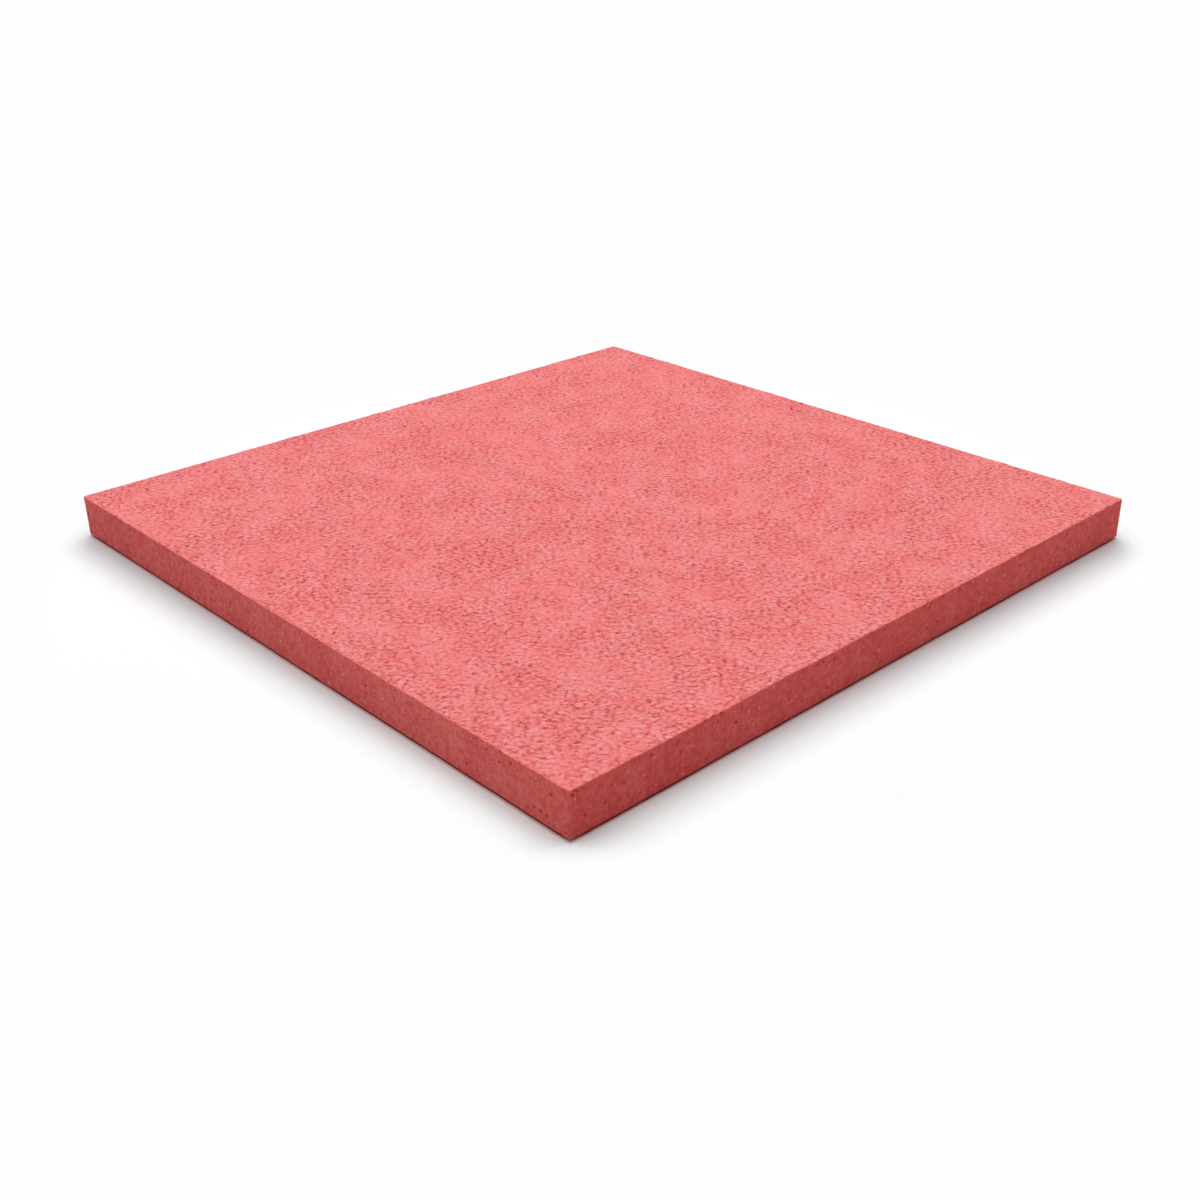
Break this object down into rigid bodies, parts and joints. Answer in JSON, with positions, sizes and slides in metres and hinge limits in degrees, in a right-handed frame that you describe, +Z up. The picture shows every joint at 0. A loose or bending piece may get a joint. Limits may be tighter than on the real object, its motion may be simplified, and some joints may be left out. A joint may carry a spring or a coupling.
{
  "type": "pillar cap",
  "caption": "Flat square concrete slab with a textured top and a drip groove underneath, which caps a masonry pillar and sheds rain.",
  "frame": {"origin": "centre of the underside", "axes": "+Z up, square to the top face; +X and +Y along the sides; the front side faces -Y"},
  "size_m": [0.6, 0.6, 0.035],
  "materials": {
    "red_concrete": "matt pigmented concrete, textured on top and cast smooth on the sides"
  },
  "bodies": {
    "root": {"pillar_cap": "red_concrete"}
  },
  "joints": []
}
